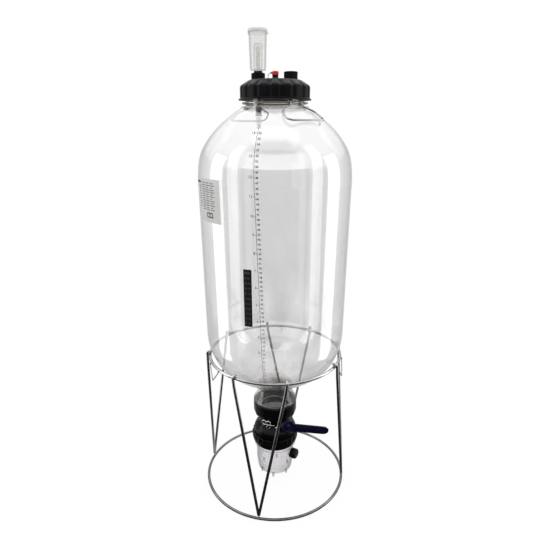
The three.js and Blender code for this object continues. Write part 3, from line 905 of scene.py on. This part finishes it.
def cut(shape, *tools):
    """The shape less the tools, by an exact boolean."""
    base = loose_object("cut_base", *shape)
    for tool in tools:
        cutter = loose_object("cut_tool", *tool)
        step = base.modifiers.new("cut", "BOOLEAN")
        step.operation = "DIFFERENCE"
        step.solver = "EXACT"
        step.object = cutter
    view = bpy.context.evaluated_depsgraph_get()
    mesh = bpy.data.meshes.new_from_object(base.evaluated_get(view))
    verts = [tuple(v.co / MM) for v in mesh.vertices]
    faces = [tuple(p.vertices) for p in mesh.polygons]
    bpy.data.meshes.remove(mesh)
    for step in list(base.modifiers):
        bpy.data.objects.remove(step.object)
    bpy.data.objects.remove(base)
    return verts, faces


def moved(shape, matrix):
    return Parts().add(shape, matrix)


def drum(radius, low, high, sides=48):
    return turned([(0, low), (radius, low), (radius, high), (0, high)], sides)


def ribbed(count, depth, low, high, inner, sharp=2.0):
    """A shape for turned(): it lowers the outside between `count` ribs, from one height to another."""
    def shape(radius, z, azimuth):
        if radius < inner or z < low or z > high:
            return radius, z
        wave = 0.5 + 0.5 * math.cos(math.radians(azimuth * count))
        return radius - depth * (1 - wave ** (1 / sharp)), z
    return shape


LOBES = 18
GROOVE = 9
GROOVE_CENTRE = 6.6


def lobed(radius, z, azimuth):
    """Round grooves between the collar's lobes, which run out on its sloping top.

    Each groove is an arc of radius GROOVE whose centre lies GROOVE_CENTRE outside the lobes."""
    pitch = 360 / LOBES
    offset = (azimuth % pitch) - pitch / 2
    across = radius * math.sin(math.radians(offset))
    groove = max(0.0, math.sqrt(max(0.0, GROOVE ** 2 - across * across)) - GROOVE_CENTRE)
    if radius < 60 or z < 1018.8:
        return radius, z
    fade = min(1.0, (radius - 60) / 12) * min(1.0, (z - 1018.8) / 1.2)
    return radius - groove * fade, z - groove * fade * (0.55 if z > 1041 else 0)


def lid():
    left = place(LEFT_POST)
    right = place(RIGHT_POST)
    outline = [(68, 1015.2), (79.6, 1015.2), (79.6, 1017.5), (76.2, 1018.6), (76.2, 1019.6), (76.2, 1021),
               (76.2, 1034), (76.2, 1041, 2), (74, 1044, 2), (71, 1045.77, 0), (67, 1048.1, 0),
               (63, 1050.5, 0), (60, 1052.2, 0), (57, 1054), (52.3, 1054), (52.3, 1047.5), (68, 1047.5)]
    make("lobed_collar", *lathe(outline, 0.6, 720, lobed), BLACK_SATIN, "lid_collar", ["lid_collar"])
    plate_outline = [(0, DISC_Z, 0), (66.5, DISC_Z), (66.5, 1047), (51.6, 1047), (51.6, POST_BASE),
                     (0, POST_BASE, 0)]
    plate = lathe(plate_outline, 0.5, 144)
    raised = lathe([(49.4, 1049.8), (49.4, 1051.2), (46.8, 1051.2), (46.8, 1049.8)], 0.5, 144)
    holes = [
        moved(drum(4.9, 1040, 1060), left),
        moved(drum(9, 1047.4, 1070), left),
        moved(drum(9, 1047.4, 1070), right),
        moved(drum(5.9, 1040, 1060), place(RELIEF)),
    ]
    disc = Parts().add(cut(plate, *holes))
    disc.add(raised)
    post = [(9, 1047.6, 0), (9, POST_TOP), (11.8, POST_TOP)]
    for turn in range(4):
        low = 1062.6 - 3 * turn
        post += [(11.8, low + 1.7), (12.4, low + 1), (12.4, low + 0.5), (11.8, low - 0.2)]
    post += [(11.8, 1049.6, 0), (12.4, 1049.5, 0)]
    disc.add(lathe(post, 0.2, 64), left).add(lathe(post, 0.2, 64), right)
    make("lid_plate", *disc, BLACK_SATIN, "lid", ["lid_disc"])
    gasket = lathe([(61.5, 1042.3), (66, 1042.3), (66, 1044.1), (61.5, 1044.1)], 0.4, 128)
    make("lid_seal", *gasket, SILICONE, "lid", ["lid_gasket"])
    knurl = ribbed(30, 0.55, 1051.6, 1066.8, 14.2, 1.6)
    bored = [(POST + GAP, 1050.4), (14.3, 1050.4), (14.85, 1051.4), (14.85, 1052), (14.85, 1059),
             (14.85, 1066.6), (14.85, 1067), (13.9, 1068), (9.1, 1068), (9.1, 1066.3), (POST + GAP, 1066.3)]
    bored_cap = moved(lathe(bored, 0.35, 360, knurl), left)
    make("bored_post_cap", *bored_cap, BLACK_SATIN, "bored_cap", ["bored_cap"])
    knurl = ribbed(30, 0.55, 1051.6, 1069.8, 14.2, 1.6)
    blank = [(0, 1068.1, 0), (POST + GAP, 1068.1), (POST + GAP, 1050.4), (14.3, 1050.4), (14.85, 1051.4),
             (14.85, 1052), (14.85, 1060), (14.85, 1069.6), (14.85, 1070), (13.9, 1071), (9.6, 1071, 0.3),
             (9, 1070.4, 0.3), (0, 1070.4, 0)]
    blank_cap = moved(lathe(blank, 0.35, 360, knurl), right)
    make("blank_post_cap", *blank_cap, BLACK_SATIN, "blank_cap", ["blank_cap"])
    pad = [(0, 1066.3, 0), (12, 1066.3), (12, 1067.8), (0, 1067.8, 0)]
    make("blank_cap_pad", *moved(lathe(pad, 0.3, 64), right), RUBBER, "blank_cap", ["blank_cap_liner"])
    grommet = [(4.6, 1054), (8.7, 1054), (8.7, 1068.4), (9.25, 1068.4), (9.25, 1072), (4.6, 1072)]
    make("grommet", *moved(lathe(grommet, 0.6, 64), left), RUBBER, "lid", ["airlock_grommet"])
    spigot = [(4.9, 983.4), (8, 983.4), (8, 985.6), (6.6, 986.5), (6.6, DISC_Z - GAP), (4.9, DISC_Z - GAP)]
    make("spigot", *moved(lathe(spigot, 0.4, 64), left), SMOKE, "lid", ["drop_spigot"])
    drop = [(3.2, 958), (4.5, 958), (6.5, 982), (4.5, 982)]
    make("drop_tip", *moved(lathe(drop, 0.3, 64), left), CLEAR, "lid", ["drop_tube"])


def relief_valve():
    home = place(RELIEF)
    body = [(2, 1036), (5.6, 1036), (5.6, 1050.3), (8, 1050.3), (9, 1051.3), (9, 1058), (6.5, 1060),
            (6.5, 1064.5), (1.9, 1064.5), (1.9, 1062), (3.9, 1062), (3.9, 1040), (2, 1040)]
    make("relief_seat", *moved(lathe(body, 0.4, 96), home), BLACK, "lid", ["relief_body"])
    stem_outline = [(0, 1040.3, 0), (3.4, 1040.3), (3.4, 1042.4), (1.5, 1042.4), (1.5, 1065), (7.15, 1065),
                    (7.15, 1066), (7.15, 1070.2), (6.2, 1072), (0, 1072, 0)]
    stem = lathe(stem_outline, 0.5, 144, ribbed(20, 0.35, 1065.6, 1071.2, 6.4))
    x, y, z = RING_EYE
    turn = math.degrees(math.atan2(-x, y))
    tab = moved(block((2.4, 10, 3.6), 0.7), place(z=z, turn=turn) @ place(0, 11, 0))
    eye = moved(drum(1.25, -4, 4, 32), place(x, y, z) @ Matrix.Rotation(math.pi / 2, 4, "Y"))
    knob = Parts().add(stem).add(cut(tab, eye))
    make("relief_red_knob", *moved(knob, home), RED, "relief_knob", ["relief_knob"])
    upright = place(x, y, z - 7.2) @ Matrix.Rotation(math.pi / 2, 4, "X")
    hoop = moved(ring(7.2, 0.65, 0, 64, 10), upright)
    make("relief_pull_ring", *moved(hoop, home), STEEL, "relief_ring", ["relief_ring"])


# ---------------------------------------------------------------- airlock

def airlock():
    home = place(LEFT_POST)
    cup = [(2.6, 1049), (4.2, 1049), (4.2, AIRLOCK_Z), (16.2, AIRLOCK_Z), (17.25, AIRLOCK_Z + 1.2, 0.5),
           (17.3, AIRLOCK_Z + 3), (18.2, AIRLOCK_Z + 36, 0), (19.2, AIRLOCK_TOP - 5),
           (17.9, AIRLOCK_TOP - 5), (16, AIRLOCK_Z + 1.6), (4, AIRLOCK_Z + 1.6), (4, 1118), (2.6, 1118)]
    make("airlock_tapered_cup", *moved(lathe(cup, 0.5, 144), home), AIRLOCK, "airlock", ["airlock_cup"])
    bell = [(8.3, 1075, 0), (9.5, 1075), (9.5, 1121.6), (7.6, 1123.4, 1.2), (0, 1123.4, 0), (0, 1122, 0),
            (8.3, 1122, 0)]
    bell_shape = moved(lathe(bell, 0.5, 96), home)
    make("airlock_bell", *bell_shape, INNER_CLEAR, "airlock_float", ["airlock_float"])
    top = AIRLOCK_TOP
    lid_outline = [(0, top - 4.6, 0), (19.6, top - 4.6), (19.6, top - 9.5), (20.8, top - 9.5),
                   (20.8, top - 2), (19.3, top), (16.4, top), (15.8, top - 0.7), (0, top - 0.7, 0)]
    cap = Parts().add(lathe(lid_outline, 0.4, 144))
    for i in range(6):
        mark_at = place(z=top - 0.45, turn=60 * i) @ place(11, 0, 0)
        cap.add(moved(block((3.2, 1, 0.7), 0.2), mark_at))
    cap.add(block((4, 7, 1.4), 0.4), place(21.9, 0, top - 8.8))
    make("airlock_top", *moved(cap, home), AIRLOCK, "airlock_cap", ["airlock_cap"])


# ---------------------------------------------------------------- valve

def upper_nut():
    outline = [(45, 211), (54, 211), (58.6, 216), (60, 222), (60, 226), (60, 251), (58.5, 252.5),
               (44.6, 252.5), (44.6, 235.7), (51.2, 235.7), (51.2, 221.3), (45, 221.3)]

    def grips(radius, z, azimuth):
        if radius < 56 or z < 214 or z > 250:
            return radius, z
        wave = max(0.0, math.cos(math.radians(azimuth * 12)))
        return radius - 1.1 + 1.1 * wave ** 0.35, z

    parts = Parts().add(lathe(outline, 1.0, 384, grips))
    make("upper_nut_shell", *parts, BLACK, "upper_nut", ["upper_union_nut"])
    seal = [(38, 232.6), (43, 232.6), (43, 235.7), (38, 235.7)]
    make("outlet_gasket", *lathe(seal, 0.5, 96), SILICONE, "vessel", ["outlet_seal"])


def valve_body():
    shell = [(BORE, 118), (THREAD - 1.4, 118)]
    for turn in range(5):
        low = 120.5 + 6 * turn
        shell += [(THREAD - 1.4, low), (THREAD, low + 1.2), (THREAD, low + 2.4), (THREAD - 1.4, low + 3.6)]
    shell += [(THREAD, 151), (59.5, 153), (59.5, 165), (57, 171, 3), (47, 184, 6), (44.6, 192, 3),
              (44.6, 221.8), (50.8, 221.8), (50.8, 232.3), (BORE, 232.3)]
    boss = moved(lathe([(0, 40, 0), (9.5, 40), (9.5, 62), (0, 62, 0)], 0.8, 64), SHAFT_HOME)
    back_boss = moved(lathe([(0, 36, 0), (8, 36), (8, 46), (0, 46, 0)], 0.8, 64),
                      outward(SHAFT_AZIMUTH + 180, SHAFT_Z))
    clip_block = moved(block((9, 9, 20), 1.1), CLIP_HOME @ place(0, 0, 51))
    bore = drum(BORE, 100, 240, 144)
    body = Parts()
    body.add(lathe(shell, 0.7, 192))
    body.add(cut(boss, moved(drum(5.3, 30, 70), SHAFT_HOME), bore))
    body.add(cut(clip_block, moved(drum(2.3, 50, 70, 32), CLIP_HOME)))
    body.add(cut(back_boss, bore))
    for azimuth in range(-160, 180, 20):
        if abs(azimuth - SHAFT_AZIMUTH) > 25 and abs(azimuth - CLIP_AZIMUTH) > 14:
            web = block((1.6, 14, 5), 0.5)
            body.add(web, outward(azimuth, 176) @ place(0, 0, 49.5))
    make("valve_housing", *body, BLACK, "vessel", ["valve_body"])
    seat = lathe([(35.2, 182), (37.5, 182), (37.5, 218), (35.2, 218)], 0.8, 144)
    hole = moved(drum(5.5, -45, 45), SHAFT_HOME)
    make("valve_liner", *cut(seat, hole), RUBBER, "vessel", ["valve_seat"])


def disc_and_shaft():
    plate = lathe([(0, 197.5, 0), (34.7, 197.5), (34.7, 202.5), (0, 202.5, 0)], 1.4, 144)
    rib = moved(lathe([(0, -33.4, 0), (7.5, -33.4), (7.5, 33.4), (0, 33.4, 0)], 1.2, 64),
                SHAFT_HOME)
    disc = Parts().add(plate).add(rib)
    make("butterfly_disc", *disc, BLACK, "valve_lever", ["valve_disc"])
    shaft = lathe([(0, -41.5, 0), (5, -41.5), (5, 68), (0, 68, 0)], 0.6, 64)
    make("butterfly_shaft", *moved(shaft, SHAFT_HOME), STEEL, "valve_lever", ["valve_shaft"])


def rounded_section(width, depth, corner, steps=5):
    """Points of a rounded rectangle."""
    points = []
    for sx, sy, start in ((1, 1, 0), (-1, 1, 90), (-1, -1, 180), (1, -1, 270)):
        for k in range(steps + 1):
            angle = math.radians(start + 90 * k / steps)
            points.append((sx * (width / 2 - corner) + corner * math.cos(angle),
                           sy * (depth / 2 - corner) + corner * math.sin(angle)))
    return points


def loft(stations):
    """Skins rounded rectangles, each given by centre, tilt about local Y, width, depth and corner."""
    rings = []
    for (x, y, z), tilt, width, depth, corner in stations:
        turn = Matrix.Rotation(math.radians(tilt), 4, "Y")
        ring_points = []
        for a, b in rounded_section(width, depth, corner):
            ring_points.append(Vector((x, y, z)) + turn @ Vector((0, a, b)))
        rings.append(ring_points)
    return skinned(rings)


def lever():
    """A hub over the shaft's end, and a flat arm that bends outwards and droops towards a blunt point."""
    along, out, drop = LEVER_END
    length = math.sqrt(along ** 2 + drop ** 2 - LEVER_OFFSET ** 2)
    droop = math.atan2(drop, along) - math.atan2(LEVER_OFFSET, length)
    home = SHAFT_HOME @ Matrix.Rotation(-droop, 4, "Z")
    arm_home = home @ place(0, -LEVER_OFFSET, 0)
    hub_outline = [(5.3, 62.5), (17.4, 62.5), (19, 64), (19, 70.6), (17.6, 72), (13.6, 72), (13, 71.2),
                   (8.6, 71.2), (8, 72), (5.3, 72)]
    hub = lathe(hub_outline, 0.5, 96)
    middle = 67.25
    slope = out / (length - 17)
    tilt = -math.degrees(math.atan(slope))
    stations = [((7, 0, middle), 0, 23.6, 5.4, 1.2), ((15, 0, middle), 0, 23.8, 5.6, 1.6)]
    for share in (0.02, 0.08, 0.2, 0.4, 0.6, 0.8, 0.9, 0.955, 0.98, 0.995):
        x = 17 + (length - 17) * share
        near_end = max(0.0, (share - 0.88) / 0.115)
        width = 23.8 - 0.6 * share - 13 * near_end ** 1.6
        centre = (x, 0, middle + (x - 17) * slope)
        stations.append((centre, tilt, width, 5.6 - 2.4 * near_end ** 3, 1.8 - 0.4 * near_end))
    arm = loft(stations)
    rib_a = loft([((24, 0, middle + 3.2 + 7 * slope), tilt, 12, 1.2, 0.5),
                  ((length - 22, 0, middle + 3.2 + (length - 39) * slope), tilt, 9, 1.2, 0.5)])
    parts = Parts().add(hub, home).add(arm, arm_home).add(rib_a, arm_home)
    make("lever_arm", *parts, BLUE, "valve_lever", ["valve_lever"])
    head_outline = [(0, 68.4, 0), (2.2, 68.4), (2.2, 72.3), (6.5, 72.3), (6.5, 74), (4.5, 75.6),
                    (0, 75.6, 0)]
    head = lathe(head_outline, 0.5, 48)
    slot_cut = place(0, 0, 76)
    cross = [moved(block(size, 0.1), slot_cut) for size in ((8, 1.1, 2.4), (1.1, 8, 2.4))]
    screw = moved(cut(head, *cross), SHAFT_HOME)
    make("lever_screw_head", *screw, BLUE, "valve_lever", ["lever_screw"])


def keeper():
    sweep = [polar(CLIP_WIRE, -20 + 1.2 * i, KEEPER_Z) for i in range(17)]
    link = [polar(CLIP_WIRE, -31 + 2.2 * i, KEEPER_Z) for i in range(6)]
    eye_z = KEEPER_Z + KEEPER_EYE - 0.5
    parts = Parts().add(wire(sweep, 1.2, 12)).add(wire(link, 1.2, 12))
    for azimuth in (-31, -18):
        parts.add(ring(KEEPER_EYE, 1.3, CLIP_WIRE, 48, 12), outward(azimuth, eye_z))
    make("keeper_spring_wire", *parts, LIT_STEEL, "vessel", ["keeper_wire"])
    hang = place(0, 2.5 - KEEPER_EYE - KEEPER_RING, CLIP_WIRE)
    turn = hang @ Matrix.Rotation(math.pi / 3, 4, "Y")
    split = Parts()
    for offset in (-0.28, 0.28):
        split.add(ring(KEEPER_RING, 0.32, offset, 64, 10), outward(-18, eye_z) @ turn)
    make("keeper_split_ring", *split, LIT_STEEL, "keeper_ring", ["keeper_ring"])
    pin = [(0, 55, 0), (1.9, 55), (1.9, 63.2), (5, 63.2), (5, 66), (3, 67.5), (0, 67.5, 0)]
    make("lock_pin_head", *moved(lathe(pin, 0.4, 64), CLIP_HOME), STEEL,
         "lock_pin", ["lock_pin"])


# ---------------------------------------------------------------- container

def lower_nut():
    outline = [(56.5, 116.4), (59, 116.4), (60.5, 118, 1.5), (63, 124, 2), (65.3, 134, 3), (65.5, 137),
               (65.5, 144), (65.5, 149), (64, 150), (56.5, 150)]

    def teeth(radius, z, azimuth):
        if radius < 60 or z < 133 or z > 150:
            return radius, z
        wave = max(0.0, math.cos(math.radians(azimuth * 24)))
        rise = min(1.0, (z - 133) / 5)
        return radius - 2.2 * rise * (1 - wave ** 0.6), z

    make("lower_nut_shell", *lathe(outline, 0.6, 576, teeth), BLACK, "lower_nut", ["lower_union_nut"])


def container():
    gasket = lathe([(40, 114.8), (50, 114.8), (50, 117.7), (40, 117.7)], 0.5, 96)
    make("container_seal", *gasket, SILICONE, "vessel", ["container_gasket"])
    shell = [(0, CUP_FLOOR, 0), (30, CUP_FLOOR), (44, CUP_FLOOR, 2), (49.6, CUP_FLOOR + 4.5, 2), (CUP, 60),
             (CUP, 107), (59, 108.4, 1), (60, 110), (60, 113), (58.6, 114.4, 1), (CUP - WALL, 114.4),
             (CUP - WALL, 60), (47.6, CUP_FLOOR + 6, 2), (43, CUP_FLOOR + 2.4, 2), (0, CUP_FLOOR + 2.4, 0)]
    port_home = outward(PORT_AZIMUTH, PORT_Z)
    cup = cut(lathe(shell, 0.5, 144), moved(drum(8, 40, 72), port_home))
    parts = Parts().add(cup)
    tube = lathe([(8, 50.4), (11, 50.4), (11, 67.6), (8, 67.6)], 0.4, 64)
    parts.add(tube, port_home)
    feet = Parts()
    foot = [(0, 9, 0), (2.6, 9, 0.8), (3.4, CUP_FLOOR + 0.6), (0, CUP_FLOOR + 0.6, 0)]
    for i in range(6):
        feet.add(lathe(foot, 0.3, 32), place(turn=i * 60 - 7) @ place(0, -41, 0))
    make("container_feet", *feet, THICK_CLEAR, "vessel", ["container"])
    make("container_cup", *parts, CLEAR_CUP, "vessel", ["container"])
    cap = [(0, 68.5, 0), (12, 68.5), (12, 56), (14, 56), (15, 57.5), (15, 71), (12.5, 73.5), (0, 73.5, 0)]
    knob = lathe(cap, 0.7, 96, ribbed(12, 0.9, 56.6, 72.6, 13, 1.2))
    make("port_knob", *moved(knob, port_home), BLACK, "port_cap", ["port_cap"])


studio()
camera()
stand()
vessel()
collar_and_handles()
scale_print()
thermometer_strip()
info_label()
lid()
relief_valve()
airlock()
upper_nut()
valve_body()
disc_and_shaft()
lever()
keeper()
lower_nut()
container()
# The spring keeps the frame's own shape
bpy.data.objects["relief_spring"].data.materials.clear()
bpy.data.objects["relief_spring"].data.materials.append(STEEL)

{"cad_box": cad_box, "visual_box": [list(corner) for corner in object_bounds()]}
